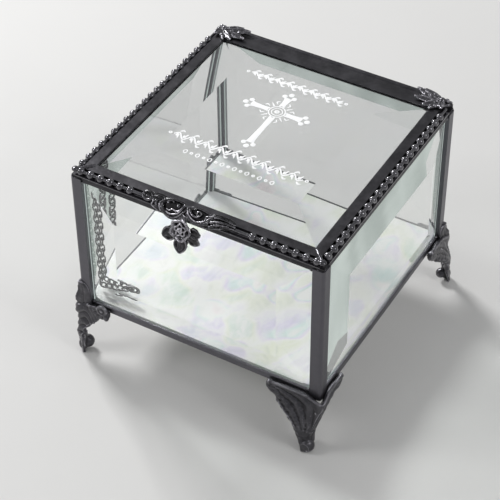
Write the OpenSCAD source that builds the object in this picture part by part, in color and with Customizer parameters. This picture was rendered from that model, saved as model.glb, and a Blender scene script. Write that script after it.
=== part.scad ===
// Bevelled-glass keepsake casket: a soldered metal frame with bevelled panes, a hinged
// lid with a beaded edge, a filigree thumb lift, a lid chain and four cast leaf feet.
// Millimetres. +Z is up, the front is -Y, and the origin is the centre of the footprint.

/* [Case] */
// Height from the table to the underside of the bottom rails
foot_h = 25.5; // [20:0.5:32]
// Distance of the corner posts' axes from the middle of the case
post_c = 52.2; // [48:0.1:58]
// Width of a square corner post
post_w = 4.9; // [4.2:0.1:5.6]
// Radius on a post's outer corner
post_round = 1.3; // [0.4:0.1:2]
// Height from the bottom rails' underside to the top of the top rails
case_h = 66.9; // [50:0.2:90]
// Height of the bottom rail's outer lip
bottom_rail_h = 3.1; // [2.6:0.1:4.5]
// Height of the top rail's lips
top_rail_h = 1.7; // [1.4:0.1:3]
// Wall of the came's webs and inner lips
came_wall = 0.55; // [0.4:0.05:0.7]
// How far the bottom rail's shelf reaches in under the base pane
shelf_w = 2.4; // [1.6:0.1:4]

/* [Panes] */
// Thickness of a side pane in the middle
side_t = 4.5; // [3.6:0.1:5.5]
// Thickness of a side pane's bevelled edge
side_edge = 1.5; // [1.2:0.1:2]
// Width of the bevel on a side pane
side_bevel = 15; // [8:0.5:20]
// Thickness of the base pane
base_t = 3; // [2:0.1:4]
// Clearance between a pane and the came around it
pane_gap = 0.05; // [0.03:0.01:0.1]

/* [Lid] */
// How far the lid's edge stays inside the posts' outer faces
lid_inset = 0.55; // [0:0.05:1.2]
// Thickness of the lid pane in the middle
lid_t = 4.5; // [3.6:0.1:5.5]
// Thickness of the lid pane's bevelled edge
lid_edge = 1.4; // [1.2:0.1:1.8]
// Width of the bevel on the lid pane
lid_bevel = 19.5; // [10:0.5:26]
// Overlap of the lid came on the pane
lid_lap = 3.7; // [2.5:0.1:4.2]
// Height of the lid came
lid_came_h = 2.95; // [2.8:0.05:3.6]
// Width of the ledge that carries the bead wire
bead_ledge = 3; // [2.6:0.1:3.4]
// Height of that ledge above the lid came's underside
ledge_h = 0.9; // [0.6:0.1:1.2]
// Gap between the closed lid and the case
lid_gap = 0.1; // [0.05:0.05:0.4]

/* [Bead wire] */
// Diameter of a bead
bead_d = 3.1; // [2.4:0.1:3.4]
// Distance between beads
bead_pitch = 4.4; // [3.4:0.1:6]
// Thickness of the strip under the beads
bead_strip_t = 0.3; // [0.2:0.05:0.5]

/* [Hinge] */
// Diameter of the hinge rod
rod_d = 1.6; // [1.2:0.1:1.8]
// Radial clearance of the rod in its tube
rod_gap = 0.06; // [0.02:0.01:0.1]
// Wall of the hinge tube
tube_wall = 0.64; // [0.4:0.02:0.9]
// Length of the hinge tube
tube_l = 92; // [60:1:96]
// Length of the rod's soldered ends, down the rear posts
rod_leg = 9; // [5:0.5:16]
// Angle of the open lid, where the chain is taut
open_angle = 95; // [80:1:105]

/* [Chain] */
// Diameter of the links' wire
link_wire = 0.75; // [0.6:0.05:0.8]
// Distance from link to link on the taut chain
link_pitch = 3; // [2.8:0.05:3.3]
// Outer width of a link
link_w = 3.2; // [3:0.05:3.4]
// Clearance between two links
link_gap = 0.05; // [0.03:0.01:0.08]
// Distance of the case's chain eye from the front pane's inner face, to the nearest whole link
case_eye_off = 10.8; // [8:0.1:16]
// Distance of the lid's chain eye from the front pane's inner face
lid_eye_off = 6.3; // [5:0.1:12]
// Radius of a chain eye, on its wire's axis
eye_r = 1.5; // [1.4:0.05:1.8]
// Distance of the chain's plane from the inner lip of the left rail
chain_off = 2.2; // [2:0.1:3]
// Least height of the hanging runs' ends above the base pane
slack_z = 2.6; // [2.2:0.1:4]
// Rise of the slack from there to its middle
slack_rise = 1.6; // [1:0.1:2.5]

/* [Feet] */
// Reach of each foot's wings along the rails: left front, right front, right rear, left rear
wing_reach = [16, 22.5, 20, 16]; // [12:0.5:28]
// Thickness of a wing
wing_t = 1.9; // [1.4:0.1:2.4]
// Thickness of the leg
leg_t = 2.7; // [2:0.1:3.6]
// Half the width of the leg
leg_half = 2.5; // [2:0.1:4]
// Outward flare of each foot's toe, in the same order
foot_flare = [1.2, 1, 2.4, 1.8]; // [0:0.1:5]
// Sideways lean of each foot's toe, in the same order
foot_lean = [0, -4.4, 0, 0]; // [-6:0.1:6]

/* [Trim] */
// Width of the filigree lift
lift_w = 46; // [36:1:52]
// Offset of the filigree lift from the middle of the lid
lift_x = -3.2; // [-8:0.1:8]
// Slope of the filigree lift's face
lift_tilt = 47; // [40:1:60]
// Thickness of the filigree
lift_t = 1.1; // [0.8:0.1:1.6]
// Diameter of the rose
rose_d = 8; // [6:0.1:9]
// Depth of the rose
rose_t = 2.6; // [1.5:0.1:3.5]
// Length of the rear corner leaves
corner_leaf_l = 15; // [10:0.5:18]

/* [Hidden] */
$fn = 48;
eps = 0.02;

// Case levels and planes
case_z = foot_h;
case_top = case_z + case_h;
post_in = post_c - post_w / 2;
post_out = post_c + post_w / 2;
rail_out = post_out - 0.65;
side_in = post_c - 1.2;
side_half = post_in + 0.75;
side_z0 = case_z + came_wall + pane_gap;
side_top = case_top - came_wall - pane_gap;
side_slope = (side_t - side_edge) / side_bevel;
lip_in = side_in - pane_gap - came_wall;
base_half = side_in - 2 * pane_gap;
base_top = side_z0 + base_t;

// Lid levels and planes
lid_z = case_top + lid_gap;
lid_out = post_out - lid_inset;
lid_in = lid_out - bead_ledge;
lid_half = lid_in - came_wall - pane_gap;
lid_open = lid_half - lid_lap;
lid_pane_z = lid_z + 0.4;
lid_slope = (lid_t - lid_edge) / lid_bevel;
lid_came_top = lid_z + lid_came_h;
ledge_z = lid_z + ledge_h;
bead_u = lid_in + eps + bead_d / 2;
bead_z = ledge_z + bead_d / 2;
rear_bead = lid_out - corner_leaf_l / 2;

// Hinge axis, just behind the lid's rear came
tube_r = rod_d / 2 + rod_gap + tube_wall;
axis_y = post_out + rod_d / 2;
axis_z = case_top + tube_r + 0.1;
rear_out = axis_y - tube_r - pane_gap;
rod_half = post_c;

// Chain: two runs that hang from eyes on the left rail and on the lid, and meet on the base
link_r = link_wire / 2;
link_l = link_pitch + 2 * link_wire + 2 * link_gap;
eye_drop = 2 * eye_r + 1.6 * link_r;
chain_x = -(lip_in - chain_off);
case_eye_z = case_top - eye_drop;
lid_eye_z = lid_z - eye_drop;
lid_eye_y = side_in - lid_eye_off;
leg_links = floor((case_eye_z - base_top - slack_z) / link_pitch);
leg_l = leg_links * link_pitch;
first_link = link_pitch / 2 - link_r - link_gap;
open_eye = lid_turn([-lid_eye_y, lid_eye_z], open_angle);
taut_l = norm([open_eye.x + side_in - case_eye_off, open_eye.y - case_eye_z]);
slack_links = round((taut_l / 2 - leg_l - link_r - link_gap) / link_pitch);
slack_l = slack_links * link_pitch + link_r + link_gap;
chain_l = 2 * (leg_l + slack_l);
case_eye_y = open_eye.x - sqrt(pow(chain_l, 2) - pow(open_eye.y - case_eye_z, 2));
case_end = [chain_x, case_eye_y, case_eye_z - leg_l];
lid_end = [chain_x, -lid_eye_y, lid_eye_z - leg_l];
meet_dy = (case_end.y - lid_end.y) / 2 - 1.2 * link_r;
case_meet = slack_tip(case_end, -meet_dy, slack_rise);
lid_meet = slack_tip(lid_end, meet_dy, slack_rise + 2 * link_wire);

// Feet
foot_gap = 0.02;
tip_seat = 0.05;
tip_t = 0.45;
tip_h = 4.8;
foot_out = post_out - 0.05;
foot_levels = 18;
foot_across = 16;
neck_at = 0.74;
toe_t = 4.8;
flute_depth = 0.35;
flutes = 4;

patina = "dimgray";
bright = "darkgray";
clear_glass = [0.86, 0.93, 0.9, 0.4];
pearl_glass = [0.9, 0.92, 0.95, 0.7];

// ---------- helpers ----------

// Where a point [y, z] of the closed lid is when the lid is open by an angle
function lid_turn(p, a) =
    let (y = p.x - axis_y, z = p.y - axis_z)
    [axis_y + y * cos(a) + z * sin(a), axis_z - y * sin(a) + z * cos(a)];

// The end of a slack half of the chain that goes so far back and up on its way to the right
function slack_tip(end, back, up) =
    end + [sqrt(pow(slack_l, 2) - pow(back, 2) - pow(up, 2)), back, up];

function mix(a, b, t) = a + (b - a) * t;
function clamp01(t) = min(1, max(0, t));
function ease(t) = let (u = clamp01(t)) u * u * (3 - 2 * u);
function steps(n) = [for (i = [0:n]) i / n];

// Turns a part made for the front (-Y) to the side with this number
module on_side(i) {
    rotate([0, 0, 90 * i])
        children();
}

// A bar along the front, of a profile drawn as [distance out, height], with mitred ends
module mitred_bar(profile, half) {
    intersection() {
        translate([half, 0, 0])
            rotate([90, 0, -90])
                linear_extrude(2 * half)
                    polygon(profile);
        translate([0, 0, -1])
            linear_extrude(lid_came_top + 20)
                polygon([[0, 0], [3 * post_c, -3 * post_c], [-3 * post_c, -3 * post_c]]);
    }
}

// A pane that lies flat, bevelled all round on its upper face
module bevelled_pane(w, d, t, edge, bevel) {
    module ridge(a, b) {
        translate([0, b / 2, 0])
            rotate([90, 0, 0])
                linear_extrude(b)
                    polygon([
                        [-a / 2, 0], [a / 2, 0], [a / 2, edge],
                        [a / 2 - bevel, t], [bevel - a / 2, t], [-a / 2, edge]
                    ]);
    }
    intersection() {
        ridge(w, d);
        rotate([0, 0, 90])
            ridge(d, w);
    }
}

// A closed shell between two grids of points of the same size, outer and inner
module shell(outer, inner) {
    rows = len(outer);
    cols = len(outer[0]);
    flat = concat([for (r = outer) each r], [for (r = inner) each r]);
    base = rows * cols;
    function at(i, j, k) = k * base + i * cols + j;
    faces = concat(
        [for (i = [0:rows - 2]) for (j = [0:cols - 2])
            each [[at(i, j, 0), at(i + 1, j, 0), at(i + 1, j + 1, 0)],
                [at(i, j, 0), at(i + 1, j + 1, 0), at(i, j + 1, 0)]]],
        [for (i = [0:rows - 2]) for (j = [0:cols - 2])
            each [[at(i, j, 1), at(i + 1, j + 1, 1), at(i + 1, j, 1)],
                [at(i, j, 1), at(i, j + 1, 1), at(i + 1, j + 1, 1)]]],
        [for (i = [0:rows - 2]) each [
            [at(i, 0, 0), at(i, 0, 1), at(i + 1, 0, 0)],
            [at(i + 1, 0, 0), at(i, 0, 1), at(i + 1, 0, 1)],
            [at(i, cols - 1, 0), at(i + 1, cols - 1, 0), at(i, cols - 1, 1)],
            [at(i + 1, cols - 1, 0), at(i + 1, cols - 1, 1), at(i, cols - 1, 1)]]],
        [for (j = [0:cols - 2]) each [
            [at(0, j, 0), at(0, j + 1, 0), at(0, j, 1)],
            [at(0, j + 1, 0), at(0, j + 1, 1), at(0, j, 1)],
            [at(rows - 1, j, 0), at(rows - 1, j, 1), at(rows - 1, j + 1, 0)],
            [at(rows - 1, j + 1, 0), at(rows - 1, j, 1), at(rows - 1, j + 1, 1)]]]
    );
    polyhedron(flat, faces, convexity = 6);
}

// The outline of a tapering scroll band along a flat path
function band(path, widths) =
    let (
        m = len(path),
        dirs = [for (i = [0:m - 1])
            let (d = path[min(i + 1, m - 1)] - path[max(i - 1, 0)]) d / norm(d)]
    )
    concat(
        [for (i = [0:m - 1]) path[i] + widths[i] * [-dirs[i].y, dirs[i].x]],
        [for (i = [m - 1:-1:0]) path[i] - widths[i] * [-dirs[i].y, dirs[i].x]]
    );

// Points of a spiral about a centre, from one radius and angle to another
function spiral(c, r0, r1, a0, a1, n) =
    [for (k = steps(n)) let (a = mix(a0, a1, k)) c + mix(r0, r1, k) * [cos(a), sin(a)]];

function taper(n, a, b, c) =
    [for (k = steps(n)) k < 0.5 ? mix(a, b, 2 * k) : mix(b, c, 2 * k - 1)];

// A solid through closed rings of points, capped at both ends
module loft(rings) {
    m = len(rings);
    n = len(rings[0]);
    faces = concat(
        [[for (k = [0:n - 1]) k]],
        [for (i = [0:m - 2]) for (k = [0:n - 1])
            each [[i * n + k, (i + 1) * n + k, (i + 1) * n + (k + 1) % n],
                [i * n + k, (i + 1) * n + (k + 1) % n, i * n + (k + 1) % n]]],
        [[for (k = [n - 1:-1:0]) (m - 1) * n + k]]
    );
    polyhedron([for (r = rings) each r], faces, convexity = 6);
}

// A leaf with a raised rib, from the origin along +Y, lying on the XY plane
module leaf(l, w, t) {
    function half(k) = w / 2 * pow(sin(180 * pow(mix(0.05, 0.98, k), 0.8)), 0.85);
    function back(k) = 0.9 * t * k * k;
    function top(k, s) = back(k) + t * (0.5 + 0.5 * (1 - abs(s))) * (1 - 0.4 * k);
    across = [-1, -0.5, 0, 0.5, 1];
    along = steps(6);
    shell([for (k = along) [for (s = across) [half(k) * s, l * k, top(k, s)]]],
        [for (k = along) [for (s = across) [half(k) * s, l * k, back(k)]]]);
}

// ---------- glass ----------

module side_glass() {
    color(clear_glass)
        translate([0, -side_in, (side_z0 + side_top) / 2])
            rotate([90, 0, 0])
                bevelled_pane(2 * side_half, side_top - side_z0, side_t, side_edge, side_bevel);
}

module base_glass() {
    color(pearl_glass)
        translate([-base_half, -base_half, side_z0])
            cube([2 * base_half, 2 * base_half, base_t]);
}

module lid_glass() {
    color(clear_glass)
        translate([0, 0, lid_pane_z])
            bevelled_pane(2 * lid_half, 2 * lid_half, lid_t, lid_edge, lid_bevel);
}

// ---------- case frame ----------

// The right rear post, slotted for the two panes and notched for the base pane's corner
module post() {
    slot_t = side_edge + 0.25;
    color(patina)
        translate([0, 0, case_z])
            difference() {
                linear_extrude(case_h)
                    union() {
                        translate([post_in, post_in])
                            square([post_w - post_round, post_w]);
                        translate([post_in, post_in])
                            square([post_w, post_w - post_round]);
                        translate([post_out - post_round, post_out - post_round])
                            circle(post_round);
                    }
                for (flip = [0, 1])
                    mirror([flip, -flip, 0])
                        translate([side_in - pane_gap, -1, side_z0 - case_z - pane_gap])
                            cube([slot_t + pane_gap, side_half + 1 + pane_gap,
                                side_top - side_z0 + 2 * pane_gap]);
                translate([-1, -1, side_z0 - case_z - pane_gap])
                    cube([base_half + 1 + pane_gap, base_half + 1 + pane_gap, base_t + 2 * pane_gap]);
            }
}

module bottom_rail() {
    lip = side_in + side_edge + side_slope * (bottom_rail_h - came_wall) + 2 * pane_gap;
    color(patina)
        mitred_bar([
            [base_half - shelf_w, case_z], [rail_out - 0.3, case_z], [rail_out, case_z + 0.3],
            [rail_out, case_z + bottom_rail_h - 0.4], [rail_out - 0.4, case_z + bottom_rail_h],
            [lip, case_z + bottom_rail_h], [lip, case_z + came_wall],
            [base_half - shelf_w, case_z + came_wall]
        ], post_in);
}

module top_rail() {
    lip = side_in + side_edge + side_slope * (top_rail_h - came_wall) + 2 * pane_gap;
    z0 = case_top - top_rail_h;
    color(patina)
        mitred_bar([
            [lip_in, z0], [lip_in, case_top], [rail_out - 0.25, case_top],
            [rail_out, case_top - 0.25], [rail_out, z0 + 0.25], [rail_out - 0.25, z0], [lip, z0],
            [lip, case_top - came_wall], [side_in - pane_gap, case_top - came_wall],
            [side_in - pane_gap, z0]
        ], post_in);
}

// ---------- lid frame ----------

function lid_slot_top(u) = lid_pane_z + lid_edge + lid_slope * (lid_half - u) + pane_gap;

// The lid came's profile up to its outer wall, which the front and sides end in a ledge
function came_profile(outer) = concat(
    [[lid_open, lid_z]], outer,
    [[lid_open + 0.3, lid_came_top], [lid_open, lid_came_top - 0.15],
        [lid_open, lid_slot_top(lid_open)], [lid_half + pane_gap, lid_slot_top(lid_half)],
        [lid_half + pane_gap, lid_pane_z], [lid_open, lid_pane_z]]
);

module lid_came() {
    color(patina)
        mitred_bar(came_profile([
            [lid_out, lid_z], [lid_out, ledge_z], [lid_in, ledge_z], [lid_in, lid_came_top]
        ]), lid_out);
}

module back_lid_came() {
    color(patina)
        mitred_bar(came_profile([
            [rear_out, lid_z], [rear_out, lid_came_top - 0.3], [rear_out - 0.3, lid_came_top]
        ]), lid_out);
}

// Bead wire along the front: a thin strip on the ledge with round beads on a fine wire, which
// has no beads between the two ends of a hole
module bead_wire(half, hole) {
    count = floor(2 * half / bead_pitch);
    color(bright) {
        translate([-half, -lid_out - 0.2, ledge_z])
            cube([2 * half, lid_out - lid_in + 0.15, bead_strip_t]);
        translate([-half, -bead_u, bead_z])
            rotate([0, 90, 0])
                cylinder(h = 2 * half, r = bead_d / 5);
        for (i = [0:count])
            let (x = (i - count / 2) * bead_pitch)
                if (x < hole[0] || x > hole[1])
                    translate([x, -bead_u, bead_z])
                        sphere(bead_d / 2);
    }
}

// ---------- hinge ----------

module hinge_tube() {
    color(patina)
        translate([-tube_l / 2, axis_y, axis_z])
            rotate([0, 90, 0])
                difference() {
                    cylinder(h = tube_l, r = tube_r);
                    translate([0, 0, -1])
                        cylinder(h = tube_l + 2, r = rod_d / 2 + rod_gap);
                }
}

// The rod runs through the tube; its ends turn down and are soldered to the rear posts
module hinge_rod() {
    color(bright) {
        translate([-rod_half, axis_y, axis_z])
            rotate([0, 90, 0])
                cylinder(h = 2 * rod_half, r = rod_d / 2);
        for (side = [-1, 1])
            translate([side * rod_half, axis_y, axis_z]) {
                sphere(rod_d / 2);
                translate([0, 0, -rod_leg])
                    cylinder(h = rod_leg, r = rod_d / 2);
            }
    }
}

// ---------- chain ----------

// One oval link with its length along Z and its face across X
module chain_link() {
    arc_r = link_w / 2 - link_r;
    straight = link_l / 2 - link_w / 2;
    for (end = [0, 180])
        rotate([end, 0, 0]) {
            translate([0, 0, straight])
                rotate([0, -90, 0])
                    rotate([0, 0, -90])
                        rotate_extrude(angle = 180)
                            translate([arc_r, 0])
                                circle(link_r);
            translate([0, arc_r, -straight])
                cylinder(h = 2 * straight, r = link_r);
        }
}

// Links in a straight run from one point towards another, each a quarter turn from the last
module chain_run(from, to, count, twist) {
    d = to - from;
    turn = atan2(d.y, d.x);
    tilt = acos(d.z / norm(d));
    color(bright)
        translate(from)
            rotate([0, tilt, turn])
                for (i = [0:count - 1])
                    translate([0, 0, first_link + i * link_pitch])
                        rotate([0, 0, twist + 90 * (i % 2)])
                            chain_link();
}

module eye_ring() {
    rotate([90, 0, 0])
        rotate_extrude()
            translate([eye_r, 0])
                circle(link_r);
}

module case_chain_eye() {
    stem = eye_r / 2;
    reach = -lip_in - chain_x;
    color(bright)
        translate([chain_x, case_eye_y, case_eye_z + eye_r]) {
            eye_ring();
            translate([reach, 0, stem])
                rotate([0, 90, 0])
                    cylinder(h = -reach - sqrt(pow(eye_r, 2) - pow(stem, 2)), r = link_r);
        }
}

module lid_chain_eye() {
    color(bright)
        translate([chain_x, -lid_eye_y, lid_eye_z + eye_r]) {
            eye_ring();
            translate([0, 0, eye_r])
                cylinder(h = lid_z - lid_eye_z - 2 * eye_r, r = link_r);
        }
}

module case_chain_run() {
    chain_run([chain_x, case_eye_y, case_eye_z], case_end, leg_links, 0);
}

module lid_chain_run() {
    chain_run([chain_x, -lid_eye_y, lid_eye_z], lid_end, leg_links, 0);
}

module case_chain_slack() {
    chain_run(case_end, case_meet, slack_links, 90);
}

module lid_chain_slack() {
    chain_run(lid_end, lid_meet, slack_links, 90);
}

// ---------- feet ----------

// Half the width of the leaf at a level, 0 at the rail and 1 at the table: a wing with a
// rounded end and lobes under it, down to the leg
function foot_half(t, reach) =
    let (k = clamp01(1 - t / neck_at))
    mix(leg_half, reach, pow(k, 1.5)) + k * abs(sin(180 * 4.5 * t / neck_at))
        + 0.09 * reach * exp(-pow((t - 0.1) / 0.07, 2));

// Angle of the two wings: square to each other at the rail, in one plane at the leg
function foot_fold(t) = 45 * (1 - ease((t - 0.2) / 0.6));

// Distance of the outer spine from the middle, along X and Y alike
function foot_spine(t, flare) = foot_out + 0.3 * sin(180 * clamp01(t / 0.8)) + flare * pow(t, 2.2);

// The ball of the toe, full at its middle and smaller on the table
function toe_ball(t) = sin(180 * clamp01((t - 0.8) / 0.24));

function foot_thick(t) = mix(wing_t, leg_t, ease(t / neck_at)) + (toe_t - leg_t) * toe_ball(t);

// A point of a folded leaf: s across from -1 to 1, on a spine that is so far out along X and Y
function leaf_point(spine, half, fold, thick, ripple, s, inside, lean, z) =
    let (
        bend = sqrt(s * s + 0.004) - sqrt(0.004),
        depth = inside * thick / cos(fold) - (1 - inside) * ripple,
        r = spine * sqrt(2) - half * sin(fold) * bend - depth,
        side = half * cos(fold) * s + lean
    )
    [(r - side) / sqrt(2), (r + side) / sqrt(2), z];

// The small scroll that swells at the end of each wing
function wing_scroll(t, s) = 0.8 * exp(-pow((abs(s) - 0.86) / 0.12, 2) - pow((t - 0.1) / 0.08, 2));

function foot_point(t, s, inside, i) =
    let (
        flute = flute_depth * (1 - ease((t - 0.5) / 0.4)) * cos(360 * flutes * abs(s)),
        half = foot_half(t, wing_reach[i]) + 0.6 * toe_ball(t)
    )
    leaf_point(foot_spine(t, foot_flare[i]), half, foot_fold(t), foot_thick(t),
        flute + wing_scroll(t, s), s, inside, foot_lean[i] * pow(t, 2), (foot_h - tip_seat) * (1 - t));

// The leaf's tip stands up in front of the post and curls outwards
function tip_point(k, s, inside) =
    leaf_point(post_out + 0.04 + tip_t + 1.7 * pow(k, 1.6), mix(2.3, 0.25, pow(k, 1.4)), 45, tip_t,
        0, s, inside, 0, foot_h - foot_gap + tip_h * k);

module foot(i) {
    across = [for (j = [0:foot_across]) 1 - 2 * j / foot_across];
    color(patina)
        shell(
            concat([for (k = [1, 0.7, 0.35, 0]) [for (s = across) tip_point(k, s, 0)]],
                [for (t = steps(foot_levels)) [for (s = across) foot_point(t, s, 0, i)]]),
            concat([for (k = [1, 0.7, 0.35, 0]) [for (s = across) tip_point(k, s, 1)]],
                [for (t = steps(foot_levels)) [for (s = across) foot_point(t, s, 1, i)]])
        );
}

// ---------- trim ----------

// The filigree, a flat pierced casting drawn about its middle: two scrolls between a button
// and a spray of leaves
module filigree() {
    u = lift_w / 46;
    n = 20;
    linear_extrude(lift_t) {
        polygon(band(u * spiral([-5.4, 0.3], 4.6, 1.2, -20, -480, n), u * taper(n, 0.9, 1, 0.5)));
        polygon(band(u * spiral([5.2, 0.1], 3.9, 1, 200, 640, n), u * taper(n, 0.9, 0.95, 0.45)));
        // Bridge between the scrolls, over the rose
        polygon(u * [[-3.2, -3.1], [0.2, -5.2], [3.1, -2.9], [1.1, 0.2], [0.3, 3.9], [-1, 3.7], [-1.2, 0.2]]);
        // Button and leaf at the left end
        translate([-21, 1] * u)
            circle(1.7 * u);
        polygon(u * [[-21, 0.1], [-16.6, -0.5], [-15.9, -3], [-12.6, -1.2], [-9.2, -3.7], [-8.6, -2.3],
            [-9.4, 1], [-8.8, 4.1], [-12.6, 3.4], [-16.2, 2.3], [-21, 1.9]]);
        // Leaf spray at the right end
        polygon(u * [[8.3, -1.7], [12.6, -3.4], [15.6, -3.1], [17.6, -1.9], [20.2, -1.7], [22.9, 0.2],
            [20.4, 1.4], [17.4, 1.1], [15.2, 2.4], [11.6, 1.5], [8.4, 2.3]]);
    }
    for (eye = [[-5.4, 0.3], [5.2, 0.1]])
        translate([eye.x * u, eye.y * u, lift_t * 0.8])
            sphere(1.1 * u);
    translate([-21 * u, u, lift_t])
        sphere(u);
}

module filigree_lift() {
    color(bright)
        translate([lift_x, -bead_u, bead_z])
            rotate([lift_tilt, 0, 0])
                translate([0, -lift_w / 30, bead_d / 5 + eps])
                    filigree();
}

// The open rose: five outer and five inner petals about a pointed bud, on a flat back
function rose_height(k, a) =
    rose_t * (0.42 + 0.5 * pow(sin(180 * clamp01(k * 1.12)), 2)
        + 0.22 * cos(5 * a) * k + 0.2 * cos(5 * a + 150) * (1 - k) * k * 3
        + 0.3 * exp(-pow(k / 0.16, 2)));

module rose() {
    n = 40;
    edge = [for (j = [0:n - 1]) let (a = 360 * j / n) rose_d / 2 * (0.86 + 0.14 * pow(abs(cos(2.5 * a)), 0.7))];
    function ring(k, z) = [for (j = [0:n - 1])
        let (a = 360 * j / n) [edge[j] * k * cos(a), edge[j] * k * sin(a), z < 0 ? 0 : rose_height(k, a)]];
    loft([
        ring(0.05, -1), ring(0.9, -1), ring(1, 0), ring(0.88, 0), ring(0.76, 0), ring(0.62, 0),
        ring(0.48, 0), ring(0.35, 0), ring(0.22, 0), ring(0.1, 0), ring(0.02, 0)
    ]);
}

// The rose and its three leaves hang from the filigree, in front of the pane
module rose_drop() {
    leaves = [[128, 0.83, 0.62], [180, 1.42, 0.8], [-131, 0.85, 0.65]];
    color(bright)
        translate([lift_x, -post_out - 0.16 * rose_d, lid_z - 0.7 * rose_d])
            rotate([90, 0, 0]) {
                rose();
                translate([0, rose_d / 2, 0.03 * rose_d])
                    sphere(0.1 * rose_d);
                for (l = leaves)
                    rotate([0, 0, l[0]])
                        translate([0, 0.26 * rose_d, -0.125 * rose_d])
                            rotate([5, 0, 0])
                                leaf(l[1] * rose_d, l[2] * rose_d, 0.15 * rose_d);
            }
}

// A small spray of leaves soldered over a rear corner of the lid
module corner_leaf() {
    u = corner_leaf_l / 15;
    boss_r = 1.5 * u;
    sprigs = [[98, 12.2, 5], [66, 8, 3.6], [125, 7.4, 3.4], [155, 4.4, 3]];
    color(bright)
        translate([lid_out - 1.2 * boss_r, lid_out - 1.2 * boss_r, lid_came_top + 2 * eps]) {
            rotate_extrude()
                intersection() {
                    circle(boss_r);
                    square(boss_r);
                }
            for (l = sprigs)
                rotate([0, 0, l[0]])
                    translate([0, boss_r + eps, boss_r / 15])
                        leaf(l[1] * u, l[2] * u, 1.6 * u);
        }
}

// ---------- drawing ----------

on_side(0) side_glass();  // front_glass
on_side(1) side_glass();  // right_glass
on_side(2) side_glass();  // back_glass
on_side(3) side_glass();  // left_glass
base_glass();
lid_glass();
on_side(0) post();  // rear_right_post
on_side(1) post();  // rear_left_post
on_side(2) post();  // front_left_post
on_side(3) post();  // front_right_post
on_side(0) bottom_rail();  // front_bottom_rail
on_side(1) bottom_rail();  // right_bottom_rail
on_side(2) bottom_rail();  // back_bottom_rail
on_side(3) bottom_rail();  // left_bottom_rail
on_side(0) top_rail();  // front_top_rail
on_side(1) top_rail();  // right_top_rail
on_side(2) top_rail();  // back_top_rail
on_side(3) top_rail();  // left_top_rail
on_side(0) lid_came();  // front_lid_came
on_side(1) lid_came();  // right_lid_came
on_side(2) back_lid_came();
on_side(3) lid_came();  // left_lid_came
on_side(0) bead_wire(lid_out - 1.6, [lift_x - lift_w / 2 - 1, lift_x + lift_w / 2 + 1]);  // front_bead_wire
on_side(1) bead_wire(lid_in - 1.2, [rear_bead, lid_out]);  // right_bead_wire
on_side(3) bead_wire(lid_in - 1.2, [-lid_out, -rear_bead]);  // left_bead_wire
on_side(0) foot(2);  // rear_right_foot
on_side(1) foot(3);  // rear_left_foot
on_side(2) foot(0);  // front_left_foot
on_side(3) foot(1);  // front_right_foot
hinge_tube();
hinge_rod();
filigree_lift();
rose_drop();
mirror([1, 0, 0]) corner_leaf();  // rear_left_leaf
corner_leaf();  // rear_right_leaf
case_chain_eye();
lid_chain_eye();
case_chain_run();
case_chain_slack();
lid_chain_run();
lid_chain_slack();
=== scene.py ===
import math

import bpy
from bpy.props import FloatProperty, FloatVectorProperty, PointerProperty
from mathutils import Matrix, Vector


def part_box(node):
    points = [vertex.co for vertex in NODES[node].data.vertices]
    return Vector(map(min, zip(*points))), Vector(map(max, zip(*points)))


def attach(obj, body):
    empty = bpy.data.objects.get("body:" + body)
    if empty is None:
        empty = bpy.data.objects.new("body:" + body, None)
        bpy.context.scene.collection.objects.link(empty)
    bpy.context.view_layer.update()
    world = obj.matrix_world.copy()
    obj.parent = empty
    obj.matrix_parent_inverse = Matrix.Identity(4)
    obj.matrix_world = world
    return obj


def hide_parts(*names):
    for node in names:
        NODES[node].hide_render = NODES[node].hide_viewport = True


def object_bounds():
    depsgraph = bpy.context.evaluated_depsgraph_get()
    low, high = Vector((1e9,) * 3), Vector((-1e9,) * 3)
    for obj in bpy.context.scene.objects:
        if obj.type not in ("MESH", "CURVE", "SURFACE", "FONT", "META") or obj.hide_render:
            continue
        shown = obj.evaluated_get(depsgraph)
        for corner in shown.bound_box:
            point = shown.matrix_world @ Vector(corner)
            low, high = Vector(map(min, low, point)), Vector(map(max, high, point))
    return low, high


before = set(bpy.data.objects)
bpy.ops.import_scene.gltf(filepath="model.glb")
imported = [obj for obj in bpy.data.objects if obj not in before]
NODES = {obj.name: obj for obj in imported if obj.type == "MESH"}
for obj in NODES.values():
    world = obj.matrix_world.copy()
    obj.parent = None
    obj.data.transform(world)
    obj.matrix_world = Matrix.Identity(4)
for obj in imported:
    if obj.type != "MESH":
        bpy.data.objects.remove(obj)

bl_info = {
    "name": "Glass casket box",
    "version": (1, 0, 0),
    "blender": (4, 5, 0),
    "location": "View3D > Sidebar > Casket",
    "description": "Dresses the packed casket with glass, dark metal and castings",
    "category": "Object",
}

MM = 0.001
MM_PER_M = 1000.0
CAD_BOX = [list(c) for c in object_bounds()]
PANES = ("front_glass", "right_glass", "back_glass", "left_glass", "lid_glass")

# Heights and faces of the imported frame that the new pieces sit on, in millimetres
LID_FRAME_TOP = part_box("front_lid_came")[1].z * MM_PER_M
POST_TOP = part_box("rear_right_post")[1].z * MM_PER_M
POST_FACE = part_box("rear_right_post")[1].x * MM_PER_M - 0.05
RAIL_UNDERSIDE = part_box("front_bottom_rail")[0].z * MM_PER_M

# The engraving's lines lie on the lid's glass, in metres
LID_GLASS_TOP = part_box("lid_glass")[1].z
CUT_LIFT = 0.00002
RING_STEPS = 10

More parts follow.
